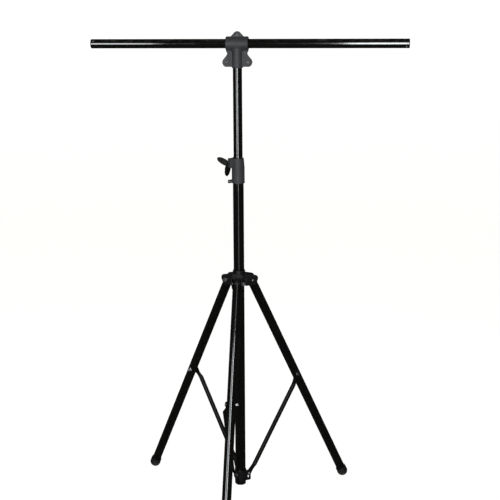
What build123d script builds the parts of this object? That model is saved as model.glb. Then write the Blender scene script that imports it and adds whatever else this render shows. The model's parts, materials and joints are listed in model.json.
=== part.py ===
"""Telescopic T-bar lighting stand: folding tripod, sliding mast, clamshell tee and crossbar.

Millimetres, +Z up. Origin on the post axis at floor level, +X along the crossbar, -Y towards
the front leg. Pieces that repeat around the post are drawn in a radial frame (+X outward,
+Y tangential) and turned to their azimuth, measured from -Y towards +X.
"""
import os
from math import cos, hypot, radians, sin

from build123d import *

RUN = 0.06                    # radial running clearance
STUD_R = 4.0                  # M8 shanks: pivots, brace bolts and the hub knob stud
NUT_ACROSS = 13.0
NUT_H = 6.5

# ---- tripod layout
LEG_AZIMUTHS = {"front": 0.0, "right": 120.0, "left": -120.0}
HUB_R = 52.0                  # radius of the leg pivots
HUB_Z = 933.0                 # height of the leg pivots
LEG_ANGLE = radians(25.15)    # leg lean from vertical
LEG_TIP_T = 1030.1            # pivot to foot tip along the leg
BRACE_T = 470.0               # pivot to brace bolt along the leg
PIN_R = 29.0                  # radius of the brace pins at the lower collar
PIN_Z = 104.0                 # height of the brace pins
PIN_DROP = 20.4               # travel of a brace pin in its slot while the tripod folds
PIN_DRIFT = 0.74              # inward drift of a brace pin over the same fold

# ---- tubes
LOWER_R, LOWER_BORE = 21.0, 19.0
LOWER_Z0, LOWER_Z1 = 61.0, 1366.0
MAST_R, MAST_BORE = 17.5, 15.5
MAST_Z0 = 736.0
BAR_Z = 1857.0
BAR_LEFT, BAR_RIGHT = -564.0, 643.0
LEG_R, LEG_BORE = 18.0, 16.5
BRACE_R, BRACE_BORE = 9.2, 8.0

# ---- moulded liners and plugs
BUSH_Z0, BUSH_LIP = 1296.0, 3.0
PLUG_R, PLUG_T, PLUG_SPIGOT, PLUG_BORE = 22.0, 5.0, 22.0, 16.0
GUIDE_DEPTH, GUIDE_SPIGOT, GUIDE_BORE = 25.0, 30.0, 11.0

# ---- clamp collar at the top of the lower tube
CLAMP_Z0, CLAMP_Z1 = 1327.0, 1423.5
CLAMP_SHOULDER = 1387.5       # straight below this height, tapering above it
CLAMP_R0, CLAMP_R1 = 25.1, 22.0
CLAMP_LIP, CLAMP_LIP_H = 0.7, 5.0
CLAMP_AZ = -58.0              # azimuth of the split and its ears
SPLIT_W = 3.0
SPLIT_Z0 = 1346.0
EAR_Z0 = 1387.5
EAR_IN, EAR_R, EAR_HALF = 16.0, 38.0, 14.0
SCREW_R, SCREW_Z = 29.5, 1397.5
CLAMP_STUD_R = 3.0
CLAMP_NUT_ACROSS, CLAMP_NUT_H = 10.0, 5.0
CLAMP_NUT_Y = 2.2             # tangential start of the captive nut
FIXING_AZ, FIXING_Z = -80.0, 1332.0
FIXING_R, FIXING_HEAD_R = 2.5, 7.0
FIXING_BOSS_R0, FIXING_BOSS_R1 = 10.0, 7.8
FIXING_SEAT, FIXING_END = 30.5, 40.5

# ---- three-winged clamp knob
WINGS = 3
WING_SWEEP = radians(16.0)    # wings lean this far away from the collar
WING_SPIN = radians(58.0)     # first wing, from +Z towards the outside
WING_LENGTH = 50.0
WING_SECTIONS = ((0.0, 15.0, 9.0), (0.45, 24.0, 7.5), (0.75, 20.0, 6.0), (0.93, 12.0, 5.0), (1.0, 5.0, 3.6))
KNOB_ROOT = -26.5             # tangential station of the wing roots
KNOB_HUB_R, KNOB_HUB_L = 8.5, 17.5

# ---- leg hub
SLEEVE_R, SLEEVE_BORE = 24.5, 22.5
SLEEVE_Z0, SLEEVE_Z1 = 914.0, 973.6
LINER_LIP = 3.0
LINER_LIP_R = 24.2
BRACKET_IN = 21.0             # radius where a bracket is buried in the sleeve
BRACKET_OUTLINE = ((66.5, 953.0), (73.5, 945.5), (73.5, 935.0), (61.5, 913.0))
BRACKET_TOP, BRACKET_BOTTOM = 964.0, 913.0
WEB_R = 26.5                  # outer face of a bracket's web
CHEEK_IN, CHEEK_T = 18.5, 2.3
PIVOT_HEAD_R, PIVOT_HEAD_H = 5.6, 3.8

# ---- hub lock knob
HUB_KNOB_AZ = 180.0
HUB_KNOB_Z = 946.0
HUB_KNOB_R, HUB_KNOB_X0, HUB_KNOB_X1 = 15.0, 36.0, 54.0
LOBES, LOBE_R, LOBE_OFFSET = 6, 5.0, 18.0
WELD_NUT_R, WELD_NUT_X = 8.5, 33.0

# ---- tee; heights below are measured from the crossbar axis
TEE_R, BOSS_R = 26.8, 21.0
TEE_HALF = 42.5
TEE_BOTTOM = -90.5
EAR_TOP = 31.7
EAR_X, EAR_LOW = 41.0, -68.9
FLANGE_T = 9.0
SHELL_GAP = 0.5               # half the gap between the two shells
TEE_BLEND = 11.0
PANEL_X, PANEL_Z, PANEL_DEPTH = (22.5, 34.5), (-63.0, -33.0), 3.2
TEE_SCREW_R, TEE_HEAD_R, TEE_HEAD_SEAT = 2.5, 5.0, 3.4
TEE_NUT_ACROSS, TEE_NUT_SEAT = 8.0, 4.2

# ---- crossbar ends
CAP_T, CAP_DEPTH, CAP_BORE = 3.0, 28.0, 12.5
CAP_SCREW_INSET = 11.5
CAP_SCREW_RISE = radians(38)  # left screw stands this far above the bar's front, right one below
CAP_SCREW_R, CAP_HEAD_R, CAP_HEAD_H = 1.6, 3.2, 1.5

# ---- brace collar at the foot of the lower tube
FOOT_COLLAR_Z0, FOOT_COLLAR_Z1, FOOT_COLLAR_R = 70.0, 118.0, 24.0
LUG_Z0, LUG_Z1, LUG_OUT = 72.0, 115.0, 38.5
LUG_Y = (-18.4, -10.4)
SLOT_HALF = 3.72
RELIEF_MARGIN = 6.0

# ---- legs and braces
KNUCKLE_R, KNUCKLE_SPIGOT = 17.9, 46.0
TUBE_START, TUBE_END = 6.0, 1006.6
FOOT_START = 987.1
FOOT_RIM_R, FOOT_NECK_R, FOOT_R = 21.4, 20.2, 22.6
HEAD_GAP = 4.0                # brace bolt head stands this far off the leg tube
PLATE_T, PLATE_GAP = 3.0, 0.8
PINCH_FLAT, PINCH_END = 20.0, 46.0
TOP_EYE_R, LOW_EYE_R = 11.0, 9.5
BRACE_PIN_R = 3.0

os.makedirs("parts", exist_ok=True)


# ======================================================================== helpers
def save(name, shape):
    """Write one named node."""
    shape.label = name
    export_step(shape, f"parts/{name}.step")


def rod(start, end, radius):
    """Solid cylinder between two points."""
    direction = Vector(*end) - Vector(*start)
    plane = Plane(origin=start, z_dir=direction.normalized())
    return plane * Cylinder(radius, direction.length, align=(Align.CENTER, Align.CENTER, Align.MIN))


def pipe(start, end, radius, bore):
    """Hollow cylinder between two points."""
    return rod(start, end, radius) - rod(start, end, bore)


def disc(z0, z1, radius):
    """Solid cylinder on the post axis."""
    return rod((0, 0, z0), (0, 0, z1), radius)


def ring(z0, z1, radius, bore):
    """Hollow cylinder on the post axis."""
    return disc(z0, z1, radius) - disc(z0, z1, bore)


def block(x0, x1, y0, y1, z0, z1):
    """Box between two corners."""
    return Pos((x0 + x1) / 2, (y0 + y1) / 2, (z0 + z1) / 2) * Box(x1 - x0, y1 - y0, z1 - z0)


def cross_rod(x, z, y0, y1, radius):
    """Solid cylinder along Y."""
    return rod((x, y0, z), (x, y1, z), radius)


def hexagon(x, z, y0, y1, across):
    """Hexagonal prism along Y."""
    plane = Plane(origin=(x, y0, z), x_dir=(1, 0, 0), z_dir=(0, 1, 0))
    return extrude(plane * RegularPolygon(across / 2, 6, major_radius=False), amount=y1 - y0)


def nut(x, z, y0, y1, across, bore):
    """Hexagonal nut along Y."""
    return hexagon(x, z, y0, y1, across) - cross_rod(x, z, y0, y1, bore)


def domed_head(x, z, y_seat, height, radius):
    """Domed head along Y, standing from its seat by a signed height."""
    head = cross_rod(x, z, y_seat, y_seat + height, radius)
    outer = head.edges().filter_by(GeomType.CIRCLE).sort_by(Axis.Y)[-1 if height > 0 else 0]
    return fillet(outer, abs(height) * 0.7)


def turned(shape, azimuth):
    """Turn a shape from its radial frame to its azimuth."""
    return Rot(0, 0, azimuth - 90.0) * shape


def around(azimuth, radius, z):
    """Point at an azimuth, radius and height."""
    return (radius * sin(radians(azimuth)), -radius * cos(radians(azimuth)), z)


def group(solids):
    """Several separate solids kept as one node."""
    return Compound(children=list(solids))


# ======================================================================== lower post
def fixing_rod(inner, outer, radius):
    """Cylinder on the collar's fixing screw axis."""
    return rod(around(FIXING_AZ, inner, FIXING_Z), around(FIXING_AZ, outer, FIXING_Z), radius)


def make_lower_post():
    """Lower tube with its mast bush, end plug and collar fixing screw."""
    tube = ring(LOWER_Z0, LOWER_Z1, LOWER_R, LOWER_BORE)
    save("lower_tube", tube - fixing_rod(LOWER_BORE - 4, LOWER_R + 3, FIXING_R + RUN))

    bush = ring(BUSH_Z0, LOWER_Z1, LOWER_BORE, MAST_R + RUN)
    bush += ring(LOWER_Z1, LOWER_Z1 + BUSH_LIP, LOWER_R - 0.1, MAST_R + RUN)
    save("mast_bush", bush)

    plug = disc(LOWER_Z0 - PLUG_T, LOWER_Z0, PLUG_R)
    plug = chamfer(plug.edges().group_by(Axis.Z)[0], 1.5)
    plug += ring(LOWER_Z0, LOWER_Z0 + PLUG_SPIGOT, LOWER_BORE, PLUG_BORE)
    save("tube_end_plug", plug)

    screw = fixing_rod(LOWER_BORE + 0.4, FIXING_SEAT, FIXING_R)
    head = fixing_rod(FIXING_SEAT, FIXING_END, FIXING_HEAD_R)
    outward = Axis((0, 0, 0), around(FIXING_AZ, 1, 0))
    head = fillet(head.faces().sort_by(outward)[-1].edges(), 3.5)
    save("collar_screw", screw + head)


def make_clamp_collar():
    """Moulded collar that holds the lower tube below and grips the mast above."""
    body = disc(CLAMP_Z0, CLAMP_SHOULDER, CLAMP_R0)
    taper = Plane(origin=(0, 0, CLAMP_SHOULDER))
    body += Solid.make_cone(CLAMP_R0, CLAMP_R1, CLAMP_Z1 - CLAMP_SHOULDER, taper)
    body += disc(CLAMP_Z0, CLAMP_Z0 + CLAMP_LIP_H, CLAMP_R0 + CLAMP_LIP)
    ears = block(EAR_IN, EAR_R, -EAR_HALF, EAR_HALF, EAR_Z0, CLAMP_Z1)
    ears = fillet(ears.edges().filter_by(Axis.Z).sort_by(Axis.X)[-2:], 3.0)
    ears = fillet(ears.edges().group_by(Axis.Z)[0], 2.0)
    body += turned(ears, CLAMP_AZ)
    outward = Vector(*around(FIXING_AZ, 1, 0))
    boss_plane = Plane(origin=around(FIXING_AZ, EAR_IN, FIXING_Z), z_dir=outward)
    body += Solid.make_cone(FIXING_BOSS_R0, FIXING_BOSS_R1, FIXING_SEAT - EAR_IN, boss_plane)
    body -= disc(CLAMP_Z0 - FIXING_BOSS_R0, CLAMP_Z0, 2 * CLAMP_R0)
    body -= disc(CLAMP_Z0, LOWER_Z1 + BUSH_LIP, LOWER_R)
    body -= disc(LOWER_Z1, CLAMP_Z1, MAST_R + RUN)
    split = block(MAST_BORE - 5, EAR_R + 1, -SPLIT_W / 2, SPLIT_W / 2, SPLIT_Z0, CLAMP_Z1 + 1)
    hole = cross_rod(SCREW_R, SCREW_Z, -EAR_HALF - 1, EAR_HALF - 3, CLAMP_STUD_R + 0.35)
    nut_end = CLAMP_NUT_Y + CLAMP_NUT_H
    pocket = hexagon(SCREW_R, SCREW_Z, 0, nut_end + 0.3, CLAMP_NUT_ACROSS + 0.4)
    body -= turned(split + hole + pocket, CLAMP_AZ)
    body -= fixing_rod(MAST_BORE, FIXING_SEAT + 1, FIXING_R + RUN)
    top_edges = body.edges().group_by(Axis.Z)[-1].filter_by(GeomType.CIRCLE)
    body = chamfer(top_edges.sort_by(Edge.length)[-1:], 0.8)
    save("clamp_collar", body)

    captive = nut(SCREW_R, SCREW_Z, CLAMP_NUT_Y, nut_end, CLAMP_NUT_ACROSS, CLAMP_STUD_R + RUN)
    save("clamp_nut", turned(captive, CLAMP_AZ))


def make_brace_collar():
    """Fixed lower collar with a slotted lug for each brace."""
    body = ring(FOOT_COLLAR_Z0, FOOT_COLLAR_Z1, FOOT_COLLAR_R, LOWER_R)
    slot_x = PIN_R - PIN_DRIFT / 2
    slot_z0 = PIN_Z - PIN_DROP
    lug = block(FOOT_COLLAR_R - 1.5, LUG_OUT, *LUG_Y, LUG_Z0, LUG_Z1)
    lug = fillet(lug.edges().filter_by(Axis.Y).sort_by(Axis.X)[-2:], 6.0)
    lug += block(LOWER_R - 6, FOOT_COLLAR_R, *LUG_Y, LUG_Z0, LUG_Z1)
    lug -= disc(LUG_Z0, LUG_Z1, LOWER_R)
    y0, y1 = LUG_Y[0] - 1, LUG_Y[1] + 1
    lug -= block(slot_x - SLOT_HALF, slot_x + SLOT_HALF, y0, y1, slot_z0, PIN_Z)
    lug -= cross_rod(slot_x, PIN_Z, y0, y1, SLOT_HALF)
    lug -= cross_rod(slot_x, slot_z0, y0, y1, SLOT_HALF)
    relief = block(FOOT_COLLAR_R - 0.2, LUG_OUT, LUG_Y[1], -RELIEF_MARGIN,
                   slot_z0 - RELIEF_MARGIN, PIN_Z + RELIEF_MARGIN)
    for azimuth in LEG_AZIMUTHS.values():
        body += turned(lug, azimuth)
        body -= turned(relief, azimuth)
    save("brace_collar", body)


# ======================================================================== mast, tee and crossbar
def make_mast():
    """Sliding tube and the guide it turns on."""
    save("upper_tube", ring(MAST_Z0, BAR_Z - MAST_R - 1, MAST_R, MAST_BORE))
    seat = MAST_Z0 - 0.5
    guide = disc(MAST_Z0 - GUIDE_DEPTH, seat, LOWER_BORE - RUN)
    guide = chamfer(guide.edges().group_by(Axis.Z)[0], 2.0)
    guide += disc(seat, MAST_Z0 + GUIDE_SPIGOT, MAST_BORE - RUN)
    guide -= disc(MAST_Z0 - GUIDE_DEPTH, MAST_Z0 + GUIDE_SPIGOT, GUIDE_BORE)
    save("mast_guide", guide)


def flange_face():
    """Outline of the tee's flange in the XZ plane."""
    right = [(28.0, 22.5), (TEE_HALF - 1, 8.0), (TEE_HALF - 1, -28.0), (37.5, -35.5)]
    ear_in, ear_side, ear_foot = (53.2, -58.9), (56.4, -69.4), (45.0, -86.0)
    brow, apex = (12.5, EAR_TOP + 7.0), (0.0, EAR_TOP + 14.0)

    def at(point, side=1):
        return (side * point[0], BAR_Z + point[1])

    with BuildSketch(Plane.XZ) as sketch:
        with BuildLine():
            ThreePointArc(at(brow), at(apex), at(brow, -1))
            Line(at(ear_foot, -1), at(ear_foot))
            for side in (1, -1):
                Polyline(at(brow, side), *[at(point, side) for point in right])
                Spline(at(right[-1], side), at((42.5, -46.0), side), at(ear_in, side),
                       tangents=((side * 0.1, -1), (side * 0.66, -0.75)))
                ThreePointArc(at(ear_in, side), at(ear_side, side), at(ear_foot, side))
        make_face()
    return sketch.sketch


def screw_points():
    """Centres of the three tee screws in X and Z."""
    return [(0, BAR_Z + EAR_TOP), (-EAR_X, BAR_Z + EAR_LOW), (EAR_X, BAR_Z + EAR_LOW)]


def tee_shell(side):
    """One clamshell half of the tee; side is -1 in front and +1 behind."""
    bottom = BAR_Z + TEE_BOTTOM
    flange = extrude(flange_face(), amount=FLANGE_T, dir=(0, side, 0))
    socket = rod((-TEE_HALF, 0, BAR_Z), (TEE_HALF, 0, BAR_Z), TEE_R)
    socket = chamfer(socket.edges().filter_by(GeomType.CIRCLE), 1.8)
    boss = disc(bottom, BAR_Z, BOSS_R)
    boss = chamfer(boss.edges().group_by(Axis.Z)[0], 1.5)
    barrel = socket + boss
    seam = [edge for edge in barrel.edges() if edge.geom_type not in (GeomType.LINE, GeomType.CIRCLE)]
    barrel = fillet(seam, TEE_BLEND)
    y_gap, y_far = sorted((side * SHELL_GAP, side * 2 * TEE_R))
    half_space = block(-2 * TEE_HALF, 2 * TEE_HALF, y_gap, y_far, bottom - 10, BAR_Z + 100)
    body = (barrel + flange) & half_space
    body -= rod((-TEE_HALF, 0, BAR_Z), (TEE_HALF, 0, BAR_Z), MAST_R)
    body -= disc(bottom, BAR_Z, MAST_R)

    face = side * FLANGE_T
    y0, y1 = sorted((face - side * PANEL_DEPTH, face + side))
    for mirror in (-1, 1):
        x0, x1 = sorted((mirror * PANEL_X[0], mirror * PANEL_X[1]))
        panel = block(x0, x1, y0, y1, BAR_Z + PANEL_Z[0], BAR_Z + PANEL_Z[1])
        body -= fillet(panel.edges().filter_by(Axis.Y), 3.5)
    for x, z in screw_points():
        body -= cross_rod(x, z, -FLANGE_T, FLANGE_T, TEE_SCREW_R + 0.2)
        if side < 0:
            body -= cross_rod(x, z, -FLANGE_T + TEE_HEAD_SEAT, -FLANGE_T - 1, TEE_HEAD_R + 0.4)
        else:
            body -= hexagon(x, z, FLANGE_T - TEE_NUT_SEAT, FLANGE_T + 1, TEE_NUT_ACROSS + 0.2)
    return body


def make_tee():
    """Clamshell tee with its fasteners."""
    save("tee_front_shell", tee_shell(-1))
    save("tee_rear_shell", tee_shell(1))
    screws = []
    nuts = []
    seat = -FLANGE_T + TEE_HEAD_SEAT
    for x, z in screw_points():
        head = domed_head(x, z, seat, -2.9, TEE_HEAD_R)
        head -= hexagon(x, z, seat - 3, seat - 1.2, 3.5)
        screws.append(head + cross_rod(x, z, seat, FLANGE_T - 0.4, TEE_SCREW_R))
        nuts.append(nut(x, z, FLANGE_T - TEE_NUT_SEAT, FLANGE_T - 0.2, TEE_NUT_ACROSS, TEE_SCREW_R))
    save("tee_screws", group(screws))
    save("tee_nuts", group(nuts))


def make_crossbar():
    """Crossbar tube with plastic end caps and their screws."""
    tube = pipe((BAR_LEFT + CAP_T, 0, BAR_Z), (BAR_RIGHT - CAP_T, 0, BAR_Z), MAST_R, MAST_BORE)
    caps = []
    screws = []
    for end, side, rise in ((BAR_LEFT, -1, CAP_SCREW_RISE), (BAR_RIGHT, 1, -CAP_SCREW_RISE)):
        x_screw = end - side * CAP_SCREW_INSET
        shoulder = end - side * CAP_T

        def on_axis(radius):
            return (x_screw, -radius * cos(rise), BAR_Z + radius * sin(rise))

        hole = rod(on_axis(CAP_BORE - 2), on_axis(MAST_R + 2), CAP_SCREW_R)
        cap = rod((end, 0, BAR_Z), (shoulder, 0, BAR_Z), MAST_R)
        cap = chamfer(cap.faces().sort_by(Axis.X)[-1 if side > 0 else 0].edges(), 0.9)
        cap += pipe((shoulder, 0, BAR_Z), (end - side * CAP_DEPTH, 0, BAR_Z), MAST_BORE, CAP_BORE)
        caps.append(cap - hole)
        tube -= hole
        crown = MAST_R + CAP_HEAD_H / 2
        head = rod(on_axis(MAST_R - 0.5), on_axis(crown), CAP_HEAD_R)
        head += rod(on_axis(crown), on_axis(MAST_R + CAP_HEAD_H), CAP_HEAD_R - 1)
        head -= rod((x_screw - 5, 0, BAR_Z), (x_screw + 5, 0, BAR_Z), MAST_R)
        screws.append(head + rod(on_axis(CAP_BORE - 1.5), on_axis(MAST_R), CAP_SCREW_R))
    save("crossbar", tube)
    save("crossbar_caps", group(caps))
    save("cap_screws", group(screws))


# ======================================================================== clamp knob
def wing(spin):
    """One leaf-shaped wing at an angle round the screw, leaning away from the collar."""
    root = Vector(SCREW_R, KNOB_ROOT, SCREW_Z)
    radial = Vector(sin(spin), 0, cos(spin))
    along = (radial * cos(WING_SWEEP) + Vector(0, -1, 0) * sin(WING_SWEEP)).normalized()
    across = radial.cross(Vector(0, 1, 0))
    sections = []
    for fraction, width, thick in WING_SECTIONS:
        plane = Plane(origin=root + along * (WING_LENGTH * fraction), x_dir=across, z_dir=along)
        sections.append(plane * RectangleRounded(width, thick, thick * 0.45))
    return loft(sections)


def make_clamp_knob():
    """Winged knob and its stud, drawn in the collar's radial frame."""
    seat = -EAR_HALF - 0.6
    hub = cross_rod(SCREW_R, SCREW_Z, seat, seat - KNOB_HUB_L, KNOB_HUB_R)
    hub = fillet(hub.faces().sort_by(Axis.Y)[0].edges(), 3.0)
    stud_inner = seat - KNOB_HUB_L + 4
    knob = hub
    for number in range(WINGS):
        knob += wing(WING_SPIN + radians(360 / WINGS * number))
    knob -= block(SCREW_R - WING_LENGTH, SCREW_R + WING_LENGTH, seat, seat + 10,
                  SCREW_Z - WING_LENGTH, SCREW_Z + WING_LENGTH)
    knob -= cross_rod(SCREW_R, SCREW_Z, stud_inner, 0, CLAMP_STUD_R)
    save("clamp_knob", turned(knob, CLAMP_AZ))
    stud = cross_rod(SCREW_R, SCREW_Z, stud_inner, EAR_HALF - 4, CLAMP_STUD_R)
    stud = chamfer(stud.faces().sort_by(Axis.Y)[-1].edges(), 0.7)
    save("clamp_stud", turned(stud, CLAMP_AZ))


# ======================================================================== leg hub
def hub_rod(x0, x1, radius):
    """Cylinder on the hub lock knob's axis, in its radial frame."""
    return rod((x0, 0, HUB_KNOB_Z), (x1, 0, HUB_KNOB_Z), radius)


def make_hub_sleeve():
    """Sliding sleeve with a weld nut, and its plastic liner."""
    boss = hub_rod(SLEEVE_R - 1.5, WELD_NUT_X, WELD_NUT_R) - disc(SLEEVE_Z0, SLEEVE_Z1, SLEEVE_BORE)
    sleeve = ring(SLEEVE_Z0, SLEEVE_Z1, SLEEVE_R, SLEEVE_BORE) + turned(boss, HUB_KNOB_AZ)
    save("hub_sleeve", sleeve - turned(hub_rod(LOWER_BORE, WELD_NUT_X + 1, STUD_R + RUN), HUB_KNOB_AZ))

    liner = ring(SLEEVE_Z0 - 2, SLEEVE_Z1, SLEEVE_BORE, LOWER_R + RUN)
    liner += ring(SLEEVE_Z1, SLEEVE_Z1 + LINER_LIP, LINER_LIP_R, LOWER_R + RUN)
    save("hub_bush", liner - turned(hub_rod(LOWER_BORE, SLEEVE_R, STUD_R + 0.5), HUB_KNOB_AZ))


def make_hub_knob():
    """Lobed lock knob and its stud."""
    socket_x = HUB_KNOB_X1 - 6
    save("hub_knob_stud", turned(hub_rod(LOWER_R + 0.5, socket_x, STUD_R), HUB_KNOB_AZ))
    knob = hub_rod(HUB_KNOB_X0, HUB_KNOB_X1, HUB_KNOB_R)
    for lobe in range(LOBES):
        angle = radians(360 / LOBES * (lobe + 0.5))
        y, z = LOBE_OFFSET * cos(angle), HUB_KNOB_Z + LOBE_OFFSET * sin(angle)
        knob -= rod((HUB_KNOB_X0, y, z), (HUB_KNOB_X1, y, z), LOBE_R)
    knob += hub_rod(WELD_NUT_X + 0.6, HUB_KNOB_X0 + 1, WELD_NUT_R - 0.5)
    knob = chamfer(knob.faces().sort_by(Axis.X)[-1].edges(), 1.0)
    save("hub_knob", turned(knob - hub_rod(WELD_NUT_X, socket_x, STUD_R), HUB_KNOB_AZ))


def hub_bracket():
    """Pressed channel: a web on the sleeve and two cheeks that straddle a leg."""
    outline = [(BRACKET_IN, BRACKET_TOP), *BRACKET_OUTLINE, (BRACKET_IN, BRACKET_BOTTOM)]
    with BuildSketch(Plane.XZ) as sketch:
        Polygon(*outline, align=None)
        fillet(sketch.vertices().filter_by(lambda vertex: vertex.X > HUB_R), 4.5)
    body = extrude(sketch.sketch, amount=CHEEK_IN + CHEEK_T, both=True)
    body = fillet(body.edges().filter_by(Axis.Z).sort_by(Axis.X)[:2], 2.0)
    body -= block(WEB_R, 2 * HUB_R, -CHEEK_IN, CHEEK_IN, BRACKET_BOTTOM, BRACKET_TOP)
    body -= disc(BRACKET_BOTTOM, BRACKET_TOP, SLEEVE_R)
    return body - cross_rod(HUB_R, HUB_Z, -2 * CHEEK_IN, 2 * CHEEK_IN, STUD_R)


def make_hub_brackets():
    """Three brackets with their pivot bolts and nuts."""
    cheek_out = CHEEK_IN + CHEEK_T
    bolt = cross_rod(HUB_R, HUB_Z, -cheek_out, cheek_out + NUT_H + 2, STUD_R)
    bolt += domed_head(HUB_R, HUB_Z, -cheek_out, -PIVOT_HEAD_H, PIVOT_HEAD_R)
    pivot_nut = nut(HUB_R, HUB_Z, cheek_out, cheek_out + NUT_H, NUT_ACROSS, STUD_R)
    for name, azimuth in LEG_AZIMUTHS.items():
        save(f"hub_bracket_{name}", turned(hub_bracket(), azimuth))
    save("hub_pivot_bolts", group(turned(bolt, azimuth) for azimuth in LEG_AZIMUTHS.values()))
    save("hub_pivot_nuts", group(turned(pivot_nut, azimuth) for azimuth in LEG_AZIMUTHS.values()))


# ======================================================================== legs and braces
def leg_point(t):
    """Point on the leg axis, t from the pivot, in the leg's radial frame."""
    return (HUB_R + t * sin(LEG_ANGLE), 0, HUB_Z - t * cos(LEG_ANGLE))


def leg_foot():
    """Flared rubber tip, turned about the leg axis and worn flat where it stands."""
    dome_t = LEG_TIP_T - FOOT_R
    corner = FOOT_R * sin(radians(45))
    with BuildSketch(Plane.XZ) as sketch:
        with BuildLine():
            Polyline(
                (0, FOOT_START),
                (FOOT_RIM_R, FOOT_START),
                (FOOT_RIM_R, FOOT_START + 3),
                (FOOT_NECK_R, FOOT_START + 4.2),
            )
            Line((FOOT_NECK_R, FOOT_START + 4.2), (FOOT_R, dome_t))
            ThreePointArc((FOOT_R, dome_t), (corner, dome_t + corner), (0, LEG_TIP_T))
            Line((0, LEG_TIP_T), (0, FOOT_START))
        make_face()
    lathe = revolve(sketch.sketch, Axis.Z)
    frame = Plane(origin=leg_point(0), z_dir=Vector(*leg_point(1)) - Vector(*leg_point(0)))
    foot = frame * lathe - rod(leg_point(FOOT_START - 5), leg_point(TUBE_END), LEG_R)
    reach = HUB_R + LEG_TIP_T
    return foot - block(0, reach, -FOOT_R * 2, FOOT_R * 2, -FOOT_R * 2, 0)


def leg_parts():
    """Pieces of one leg in its radial frame."""
    bolt_x, _, bolt_z = leg_point(BRACE_T)
    tube = pipe(leg_point(TUBE_START), leg_point(TUBE_END), LEG_R, LEG_BORE)
    tube -= cross_rod(bolt_x, bolt_z, -LEG_R, LEG_R, STUD_R)

    knuckle = Pos(*leg_point(0)) * Sphere(KNUCKLE_R) + rod(leg_point(0), leg_point(TUBE_START), KNUCKLE_R)
    knuckle -= rod(leg_point(TUBE_START), leg_point(KNUCKLE_SPIGOT), 2 * LEG_R)
    knuckle += rod(leg_point(TUBE_START), leg_point(KNUCKLE_SPIGOT), LEG_BORE)
    knuckle -= cross_rod(HUB_R, HUB_Z, -LEG_R, LEG_R, STUD_R + RUN)

    head_seat = -(LEG_R + HEAD_GAP)
    nut_seat = LEG_R + 1.0
    bolt = cross_rod(bolt_x, bolt_z, head_seat, nut_seat + NUT_H + 2, STUD_R)
    bolt += domed_head(bolt_x, bolt_z, head_seat, -3.2, 7.5)
    bolt += domed_head(bolt_x, bolt_z, nut_seat + NUT_H, 3.4, 4.6)
    brace_nut = hexagon(bolt_x, bolt_z, nut_seat, nut_seat + NUT_H, NUT_ACROSS)
    brace_nut += cross_rod(bolt_x, bolt_z, LEG_R - 0.4, nut_seat, 8.0)
    brace_nut -= cross_rod(bolt_x, bolt_z, 0, nut_seat + NUT_H, STUD_R)
    brace_nut -= rod(leg_point(BRACE_T - 20), leg_point(BRACE_T + 20), LEG_R)
    return {"leg_tube": tube, "leg_knuckle": knuckle, "leg_foot": leg_foot(),
            "brace_bolt": bolt, "brace_nut": brace_nut}


def brace_parts():
    """Brace with two pinched ends and its lower pin, in the leg's radial frame."""
    x_top, _, z_top = leg_point(BRACE_T)
    length = hypot(x_top - PIN_R, z_top - PIN_Z)
    along = Vector(PIN_R - x_top, 0, PIN_Z - z_top).normalized()
    frame = Plane(origin=(x_top, 0, z_top), x_dir=along, z_dir=(0, -1, 0))
    plate_in = LEG_R + PLATE_GAP
    plate_out = plate_in + PLATE_T
    centre = plate_in + BRACE_R

    def section(x, height, shape):
        return Plane(origin=(x, 0, height), x_dir=(0, 1, 0), z_dir=(1, 0, 0)) * shape

    body = pipe((PINCH_END, 0, centre), (length - PINCH_END, 0, centre), BRACE_R, BRACE_BORE)
    for x_pin, side, eye_r, hole in ((0.0, 1, TOP_EYE_R, STUD_R + RUN), (length, -1, LOW_EYE_R, BRACE_PIN_R)):
        x_flat, x_round = x_pin + side * PINCH_FLAT, x_pin + side * PINCH_END
        plate = block(*sorted((x_pin, x_flat)), -eye_r, eye_r, plate_in, plate_out)
        plate += rod((x_pin, 0, plate_in), (x_pin, 0, plate_out), eye_r)
        plate += loft([
            section(x_flat, (plate_in + plate_out) / 2, RectangleRounded(2 * eye_r, PLATE_T, 1.3)),
            section(x_round, centre, Circle(BRACE_R)),
        ])
        body += plate - rod((x_pin, 0, 0), (x_pin, 0, 2 * plate_out), hole)

    tail = LUG_Y[1] + 0.4
    pin = rod((length, 0, -tail), (length, 0, plate_out), BRACE_PIN_R)
    cap = rod((length, 0, plate_out), (length, 0, plate_out + 2.6), 5.5)
    pin += fillet(cap.edges().group_by(Axis.Z)[-1], 1.8)
    pin += rod((length, 0, -tail - 2.4), (length, 0, -tail), 4.5)
    return {"brace": frame.location * body, "brace_pin": frame.location * pin}


make_lower_post()
make_clamp_collar()
make_brace_collar()
make_mast()
make_tee()
make_crossbar()
make_clamp_knob()
make_hub_sleeve()
make_hub_knob()
make_hub_brackets()
for leg_name, leg_azimuth in LEG_AZIMUTHS.items():
    for node, solid in {**leg_parts(), **brace_parts()}.items():
        save(f"{node}_{leg_name}", turned(solid, leg_azimuth))
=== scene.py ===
"""T-bar lighting stand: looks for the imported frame. Metres, +Z up, crossbar along X."""
import json
import math

import bmesh
import bpy
from mathutils import Matrix, Vector


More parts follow.
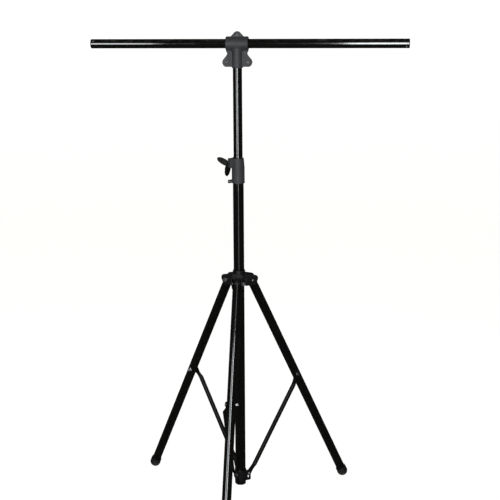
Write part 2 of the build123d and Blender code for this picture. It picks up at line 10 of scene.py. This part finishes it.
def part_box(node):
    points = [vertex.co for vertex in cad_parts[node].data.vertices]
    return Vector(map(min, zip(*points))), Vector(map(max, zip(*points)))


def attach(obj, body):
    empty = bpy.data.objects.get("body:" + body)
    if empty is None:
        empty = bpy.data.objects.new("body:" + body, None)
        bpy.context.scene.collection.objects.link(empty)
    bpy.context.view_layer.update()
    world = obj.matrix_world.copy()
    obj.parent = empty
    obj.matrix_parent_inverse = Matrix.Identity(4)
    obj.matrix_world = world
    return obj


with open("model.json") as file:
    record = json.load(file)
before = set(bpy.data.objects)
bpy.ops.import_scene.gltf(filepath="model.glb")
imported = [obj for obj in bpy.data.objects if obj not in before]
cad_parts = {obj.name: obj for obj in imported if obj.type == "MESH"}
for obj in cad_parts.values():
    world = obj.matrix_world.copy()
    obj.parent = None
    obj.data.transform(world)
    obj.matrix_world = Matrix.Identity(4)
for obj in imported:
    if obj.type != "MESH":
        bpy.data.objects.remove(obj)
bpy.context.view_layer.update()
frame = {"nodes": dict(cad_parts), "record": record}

NODES = frame["nodes"]
RECORD = frame["record"]
SLOTS = {part["node"]: part["material_slot"] for part in RECORD["subparts"]}

IMAGE_SIDE = 500                      # pixels, both ways
FOCAL = 1000.0                        # focal length in pixels
CAMERA_AT = (0.5123, -3.8099, 1.9777)
CAMERA_PITCH = 0.235                  # looking down, radians
CAMERA_YAW = math.radians(7.0)        # turned to the left of +Y
CAMERA_ROLL = -0.0053
SENSOR = 36.0

ROOM_FLOOR, ROOM_SWEEP, ROOM_HEIGHT = 8.0, 2.0, 7.0
ROOM_GLOW = (1.0, 0.998, 0.980)
ROOM_PAINT = (0.30, 0.30, 0.295)
ROOM_STRENGTH = 0.835
WORLD_STRENGTH = 0.02
WORLD_COLOUR = (1.0, 0.97, 0.93)
LIGHT_COLOUR = (0.95, 0.98, 1.0)
OVERHEAD_RADIANCE = 1.2
SOFTBOXES = (                         # name, location, height aimed at, width and height, radiance
    ("front_box", (0.08, -3.95, 1.85), 1.5, (0.52, 2.3), 19.0),
    ("front_low_box", (0.08, -3.95, 0.32), 1.0, (0.52, 0.72), 2.2),
    ("high_box", (0.25, -3.6, 3.5), 0.8, (0.5, 0.9), 2.8),
    ("left_box", (-2.05, -3.7, 1.85), 1.5, (0.8, 2.1), 10.0),
)


# ------------------------------------------------------------------ node helpers
class Nodes:
    """A short way to build one material's node tree."""

    def __init__(self, name):
        self.material = bpy.data.materials.new(name)
        self.material.use_nodes = True
        self.tree = self.material.node_tree
        self.shader = self.tree.nodes["Principled BSDF"]
        self.coords = self.tree.nodes.new("ShaderNodeTexCoord").outputs["Object"]

    def link(self, source, target):
        self.tree.links.new(source, target)

    def add(self, kind, **values):
        node = self.tree.nodes.new(kind)
        for key, value in values.items():
            setattr(node, key, value)
        return node

    def noise(self, scale, detail=4.0, roughness=0.55, stretch=None):
        """Noise of that scale, in features per metre."""
        node = self.add("ShaderNodeTexNoise")
        node.inputs["Scale"].default_value = scale
        node.inputs["Detail"].default_value = detail
        node.inputs["Roughness"].default_value = roughness
        coords = self.coords
        if stretch:
            mapping = self.add("ShaderNodeMapping")
            mapping.inputs["Scale"].default_value = stretch
            self.link(coords, mapping.inputs["Vector"])
            coords = mapping.outputs["Vector"]
        self.link(coords, node.inputs["Vector"])
        return node.outputs["Fac"]

    def ramp(self, fac, low, high, start=0.0, end=1.0):
        """A two-stop ramp from one colour or value to another."""
        node = self.add("ShaderNodeValToRGB")
        stops = node.color_ramp.elements
        stops[0].position, stops[1].position = start, end
        for stop, colour in zip(stops, (low, high)):
            if not isinstance(colour, tuple):
                colour = (colour, colour, colour)
            stop.color = (*colour, 1.0)
        self.link(fac, node.inputs["Fac"])
        return node.outputs["Color"]

    def mix(self, fac, first, second, mode="MIX"):
        node = self.add("ShaderNodeMix", data_type="RGBA", blend_type=mode)
        sockets = node.inputs["Factor"], node.inputs["A"], node.inputs["B"]
        for value, socket in zip((fac, first, second), sockets):
            self.feed(value, socket)
        return node.outputs["Result"]

    def math(self, operation, first, second=0.0):
        node = self.add("ShaderNodeMath", operation=operation)
        self.feed(first, node.inputs[0])
        self.feed(second, node.inputs[1])
        return node.outputs[0]

    def feed(self, value, socket):
        if hasattr(value, "is_linked"):
            self.link(value, socket)
        elif isinstance(value, tuple) and len(value) == 3:
            socket.default_value = (*value, 1.0)
        else:
            socket.default_value = value

    def bump(self, height, strength, distance):
        node = self.add("ShaderNodeBump")
        node.inputs["Strength"].default_value = strength
        node.inputs["Distance"].default_value = distance
        self.link(height, node.inputs["Height"])
        self.link(node.outputs["Normal"], self.shader.inputs["Normal"])

    def set(self, **values):
        for key, value in values.items():
            self.shader.inputs[key.replace("_", " ")].default_value = value


def dust_on_top(nodes, colour, dust, amount):
    """Lightens what faces up, in patches."""
    normal = nodes.add("ShaderNodeNewGeometry").outputs["Normal"]
    split = nodes.add("ShaderNodeSeparateXYZ")
    nodes.link(normal, split.inputs[0])
    up = nodes.ramp(split.outputs["Z"], 0.0, amount, 0.35, 1.0)
    patches = nodes.ramp(nodes.noise(55.0, 6.0), 0.0, 1.0, 0.42, 0.68)
    return nodes.mix(nodes.math("MULTIPLY", up, patches), colour, dust)


def paint(name, base, light, gloss, coat, specular=0.5):
    """Powder-coated or enamelled steel: orange peel, faint handling marks and dust."""
    nodes = Nodes(name)
    cloud = nodes.noise(18.0, 5.0)
    colour = nodes.ramp(cloud, base, light, 0.3, 0.75)
    scuffs = nodes.ramp(nodes.noise(160.0, 8.0, 0.7, (1.0, 1.0, 0.12)), 0.0, 1.0, 0.66, 0.74)
    colour = nodes.mix(nodes.math("MULTIPLY", scuffs, 0.35), colour, (0.05, 0.05, 0.052))
    colour = dust_on_top(nodes, colour, (0.09, 0.085, 0.075), 0.35)
    nodes.link(colour, nodes.shader.inputs["Base Color"])
    smear = nodes.noise(35.0, 6.0, 0.6, (1.0, 1.0, 0.3))
    rough = nodes.ramp(smear, gloss, gloss + 0.07, 0.35, 0.75)
    nodes.link(rough, nodes.shader.inputs["Roughness"])
    nodes.set(Coat_Weight=coat, Coat_Roughness=0.05, Coat_IOR=1.5, IOR=1.5, Specular_IOR_Level=specular)
    nodes.bump(nodes.noise(900.0, 3.0), 0.05, 0.0002)
    return nodes.material


def moulded(name, base, light, gloss, grain, depth, specular=0.5):
    """Moulded nylon with a spark-eroded grain."""
    nodes = Nodes(name)
    cloud = nodes.noise(30.0, 6.0)
    colour = nodes.ramp(cloud, base, light, 0.3, 0.75)
    fine = nodes.noise(grain, 2.0, 0.5)
    peaks = tuple(min(1.0, c * 1.6) for c in light)
    colour = nodes.mix(nodes.ramp(fine, 0.0, 0.35, 0.45, 0.75), colour, peaks)
    colour = dust_on_top(nodes, colour, tuple(c * 2.2 for c in light), 0.4)
    nodes.link(colour, nodes.shader.inputs["Base Color"])
    rough = nodes.ramp(nodes.noise(60.0, 5.0), gloss, gloss + 0.16, 0.3, 0.7)
    nodes.link(rough, nodes.shader.inputs["Roughness"])
    nodes.set(IOR=1.5, Specular_IOR_Level=specular)
    nodes.bump(nodes.math("ADD", fine, nodes.math("MULTIPLY", cloud, 0.4)), depth, 0.0003)
    return nodes.material


def rubber(name):
    """Black rubber, chalky where it wears on the floor."""
    nodes = Nodes(name)
    cloud = nodes.noise(45.0, 7.0, 0.65)
    colour = nodes.ramp(cloud, (0.0035, 0.0035, 0.0036), (0.0085, 0.0085, 0.0085), 0.3, 0.75)
    split = nodes.add("ShaderNodeSeparateXYZ")
    nodes.link(nodes.add("ShaderNodeNewGeometry").outputs["Position"], split.inputs[0])
    low = nodes.ramp(split.outputs["Z"], 0.65, 0.0, 0.0, 0.022)
    chalk = nodes.math("MULTIPLY", low, nodes.ramp(nodes.noise(140.0, 8.0), 0.2, 1.0, 0.35, 0.6))
    colour = nodes.mix(chalk, colour, (0.07, 0.068, 0.063))
    nodes.link(colour, nodes.shader.inputs["Base Color"])
    rough = nodes.ramp(cloud, 0.48, 0.72, 0.3, 0.7)
    nodes.link(rough, nodes.shader.inputs["Roughness"])
    nodes.bump(nodes.noise(1100.0, 3.0), 0.25, 0.0003)
    return nodes.material


def plated(name):
    """Zinc-plated steel with fine turning marks and dull spots."""
    nodes = Nodes(name)
    spots = nodes.noise(260.0, 6.0)
    colour = nodes.ramp(spots, (0.42, 0.42, 0.43), (0.72, 0.72, 0.74), 0.3, 0.7)
    stain = nodes.ramp(nodes.noise(90.0, 7.0), 0.0, 0.5, 0.55, 0.7)
    colour = nodes.mix(stain, colour, (0.26, 0.25, 0.23))
    nodes.link(colour, nodes.shader.inputs["Base Color"])
    rough = nodes.ramp(spots, 0.22, 0.42, 0.3, 0.7)
    nodes.link(rough, nodes.shader.inputs["Roughness"])
    nodes.set(Metallic=1.0)
    nodes.bump(nodes.noise(1500.0, 2.0), 0.15, 0.0002)
    return nodes.material


MATERIALS = {
    "gloss_black_paint": paint(
        "gloss_black_paint", (0.0014, 0.0014, 0.0013), (0.0027, 0.0027, 0.0025), gloss=0.09, coat=0.6
    ),
    "brace_paint": paint(
        "brace_paint", (0.0020, 0.0020, 0.0019), (0.0038, 0.0038, 0.0036), gloss=0.36, coat=0.0, specular=0.15
    ),
    "satin_black_paint": paint(
        "satin_black_paint", (0.0030, 0.0030, 0.0029), (0.0060, 0.0059, 0.0057), gloss=0.32, coat=0.25
    ),
    # Black screws get a mid-grey base colour, lighter than the real black finish, so the heads show as bright
    # dots: the raised base colour is a painted highlight, while the gloss and coat are real.
    "black_screw": paint(
        "black_screw", (0.050, 0.050, 0.052), (0.120, 0.120, 0.125), gloss=0.24, coat=0.5
    ),
    "grey_nylon": moulded(
        "grey_nylon", (0.0148, 0.0152, 0.0168), (0.0225, 0.0230, 0.0255), gloss=0.50, grain=1400.0, depth=0.30
    ),
    "black_nylon": moulded(
        "black_nylon",
        (0.0018, 0.0022, 0.0020),
        (0.0036, 0.0041, 0.0038),
        gloss=0.42,
        grain=1600.0,
        depth=0.20,
        specular=0.16,
    ),
    "black_plastic": moulded(
        "black_plastic",
        (0.0040, 0.0040, 0.0042),
        (0.0070, 0.0070, 0.0072),
        gloss=0.36,
        grain=1600.0,
        depth=0.18,
        specular=0.40,
    ),
    "rubber": rubber("rubber"),
    "zinc_steel": plated("zinc_steel"),
}


# ------------------------------------------------------------------ CAD nodes
EDGE_BREAK = 0.0004                   # width of the bevel on sharp edges

# nodes finished differently from the rest of their slot
FINISHES = {
    "brace_front": "brace_paint",
    "brace_right": "brace_paint",
    "brace_left": "brace_paint",
    "collar_screw": "satin_black_paint",
}


def finish_node(name, obj):
    """Material, smooth shading and small edge breaks for a CAD node."""
    obj.data.materials.clear()
    obj.data.materials.append(MATERIALS[FINISHES.get(name, SLOTS[name])])
    bevel = obj.modifiers.new("edge_break", "BEVEL")
    bevel.width = EDGE_BREAK
    bevel.segments = 2
    bevel.limit_method = "ANGLE"
    bevel.angle_limit = math.radians(35.0)
    bevel.harden_normals = True
    for polygon in obj.data.polygons:
        polygon.use_smooth = True


for node_name, node_object in NODES.items():
    finish_node(node_name, node_object)


# ------------------------------------------------------------------ detail pieces
JOINTS = {joint["name"]: joint for joint in RECORD["behaviour"]["joints"]}
LEGS = ("front", "right", "left")

BEAD_R = 0.0021                       # weld bead between a bracket and the hub sleeve
BEAD_RADIAL, BEAD_SIDE = 0.0203, 0.0152
BEAD_INSET = 0.003
FOOT_RIBS = (0.0295, 0.0345)          # heights of the foot's grip ribs above the floor
FOOT_RIB_R, FOOT_RIB_SECTION = 0.0211, 0.0011


def tube_along(name, points, radius, slot_name, body, closed=False, sides=10):
    """Round section swept along points; radius is one value or one per point."""
    count = len(points)
    radii = radius if isinstance(radius, list) else [radius] * count
    bm = bmesh.new()
    rings = []
    for index, point in enumerate(points):
        before = points[(index - 1) % count] if closed or index else point
        after = points[(index + 1) % count] if closed or index < count - 1 else point
        tangent = (after - before).normalized()
        side = tangent.orthogonal() if not rings else side - tangent * side.dot(tangent)
        side.normalize()
        up = tangent.cross(side)
        ring = []
        for step in range(sides):
            angle = 2 * math.pi * step / sides
            ring.append(bm.verts.new(point + (side * math.cos(angle) + up * math.sin(angle)) * radii[index]))
        rings.append(ring)
    pairs = list(zip(rings, rings[1:] + rings[:1])) if closed else list(zip(rings, rings[1:]))
    for first, second in pairs:
        for step in range(sides):
            after = (step + 1) % sides
            bm.faces.new((first[step], first[after], second[after], second[step]))
    if not closed:
        bm.faces.new(list(reversed(rings[0])))
        bm.faces.new(rings[-1])
    bmesh.ops.recalc_face_normals(bm, faces=bm.faces)
    mesh = bpy.data.meshes.new(name)
    bm.to_mesh(mesh)
    bm.free()
    for polygon in mesh.polygons:
        polygon.use_smooth = True
    obj = bpy.data.objects.new(name, mesh)
    bpy.context.collection.objects.link(obj)
    mesh.materials.append(MATERIALS[slot_name])
    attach(obj, body)
    return obj


def leg_frame(leg):
    """Outward and tangential directions of a leg, its pivot and its axis."""
    pivot = Vector(JOINTS[f"leg_{leg}_fold"]["pos_m"])
    bolt = Vector(JOINTS[f"brace_{leg}_fold"]["pos_m"])
    outward = Vector((pivot.x, pivot.y, 0.0)).normalized()
    return outward, Vector((-outward.y, outward.x, 0.0)), pivot, (bolt - pivot).normalized()


def weld_beads(leg):
    """Rippled weld down both sides of a bracket where it meets the sleeve."""
    outward, tangential, _, _ = leg_frame(leg)
    low, high = (corner.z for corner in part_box(f"hub_bracket_{leg}"))
    steps = 60
    for side, label in ((-1, "a"), (1, "b")):
        foot = outward * BEAD_RADIAL + tangential * side * BEAD_SIDE
        points = []
        radii = []
        for step in range(steps + 1):
            along = low + BEAD_INSET + (high - low - 2 * BEAD_INSET) * step / steps
            points.append(foot + Vector((0.0, 0.0, along)))
            ripple = 0.13 * abs(math.sin(step * 1.05 + side)) + 0.05 * math.sin(step * 0.31)
            radii.append(BEAD_R * (1.0 + ripple))
        tube_along(f"weld_{leg}_{label}", points, radii, "satin_black_paint", "leg_hub")


def foot_ribs(leg):
    """Moulded grip ribs round a rubber foot."""
    _, tangential, pivot, along = leg_frame(leg)
    across = along.cross(tangential)
    for number, height in enumerate(FOOT_RIBS):
        centre = pivot + along * ((height - pivot.z) / along.z)
        points = []
        for step in range(72):
            angle = 2 * math.pi * step / 72
            points.append(centre + (tangential * math.cos(angle) + across * math.sin(angle)) * FOOT_RIB_R)
        tube_along(f"foot_rib_{leg}_{number}", points, FOOT_RIB_SECTION, "rubber", f"leg_{leg}", closed=True)


for leg_name in LEGS:
    weld_beads(leg_name)
    foot_ribs(leg_name)


# ------------------------------------------------------------------ studio
def studio_room():
    """Round seamless room: a pale floor that sweeps up into a softly glowing wall."""
    profile = [(0.0, 0.0), (1.5, 0.0), (4.0, 0.0), (ROOM_FLOOR, 0.0)]
    for step in range(1, 13):
        angle = math.radians(90.0 * step / 12)
        profile.append((ROOM_FLOOR + ROOM_SWEEP * math.sin(angle), ROOM_SWEEP * (1.0 - math.cos(angle))))
    profile.append((ROOM_FLOOR + ROOM_SWEEP, ROOM_HEIGHT))
    bm = bmesh.new()
    centre = bm.verts.new((0.0, 0.0, 0.0))
    sides = 96
    rings = []
    for radius, height in profile[1:]:
        turns = [2 * math.pi * step / sides for step in range(sides)]
        rings.append([bm.verts.new((radius * math.cos(a), radius * math.sin(a), height)) for a in turns])
    for step in range(sides):
        after = (step + 1) % sides
        bm.faces.new((centre, rings[0][step], rings[0][after]))
        for inner, outer in zip(rings, rings[1:]):
            bm.faces.new((inner[step], outer[step], outer[after], inner[after]))
    mesh = bpy.data.meshes.new("room")
    bm.to_mesh(mesh)
    bm.free()
    obj = bpy.data.objects.new("room", mesh)
    bpy.context.collection.objects.link(obj)
    for polygon in mesh.polygons:
        polygon.use_smooth = True
    nodes = Nodes("room")
    tone = nodes.ramp(nodes.noise(0.7, 3.0), tuple(c * 0.97 for c in ROOM_PAINT), ROOM_PAINT)
    nodes.link(tone, nodes.shader.inputs["Base Color"])
    nodes.set(Roughness=0.8, Emission_Color=(*ROOM_GLOW, 1.0), Emission_Strength=ROOM_STRENGTH)
    mesh.materials.append(nodes.material)
    obj.visible_glossy = False


def area_light(name, location, target, size, radiance, glossy=True):
    """Rectangular soft light aimed at a point, both given round the camera's yaw."""
    data = bpy.data.lights.new(name, "AREA")
    data.shape = "RECTANGLE"
    data.size, data.size_y = size
    data.energy = radiance * math.pi * size[0] * size[1]
    data.color = LIGHT_COLOUR
    obj = bpy.data.objects.new(name, data)
    bpy.context.collection.objects.link(obj)
    turn = Matrix.Rotation(CAMERA_YAW, 4, "Z")
    place = turn @ Vector(location)
    aim = turn @ Vector(target)
    obj.matrix_world = Matrix.Translation(place) @ (aim - place).to_track_quat("-Z", "Y").to_matrix().to_4x4()
    obj.visible_glossy = glossy


def studio_lights():
    """Softboxes in front, a wide light overhead, and a dim world for reflections."""
    world = bpy.data.worlds.new("studio")
    world.use_nodes = True
    background = world.node_tree.nodes["Background"]
    background.inputs["Color"].default_value = (*WORLD_COLOUR, 1.0)
    background.inputs["Strength"].default_value = WORLD_STRENGTH
    bpy.context.scene.world = world
    for name, location, aim_height, size, radiance in SOFTBOXES:
        area_light(name, location, (0.0, 0.0, aim_height), size, radiance)
    area_light("overhead", (0.0, 0.0, 4.6), (0.0, 0.0, 0.0), (4.5, 4.5), OVERHEAD_RADIANCE, glossy=False)


def camera():
    """Camera at its fitted place, looking down at the stand."""
    data = bpy.data.cameras.new("camera")
    data.sensor_width = SENSOR
    data.lens = FOCAL / IMAGE_SIDE * SENSOR
    data.clip_end = 50.0
    obj = bpy.data.objects.new("camera", data)
    bpy.context.collection.objects.link(obj)
    obj.matrix_world = (
        Matrix.Translation(CAMERA_AT)
        @ Matrix.Rotation(CAMERA_YAW, 4, "Z")
        @ Matrix.Rotation(math.pi / 2 - CAMERA_PITCH, 4, "X")
        @ Matrix.Rotation(CAMERA_ROLL, 4, "Z")
    )
    bpy.context.scene.camera = obj


studio_room()
studio_lights()
camera()
bpy.context.scene.view_settings.view_transform = "Standard"
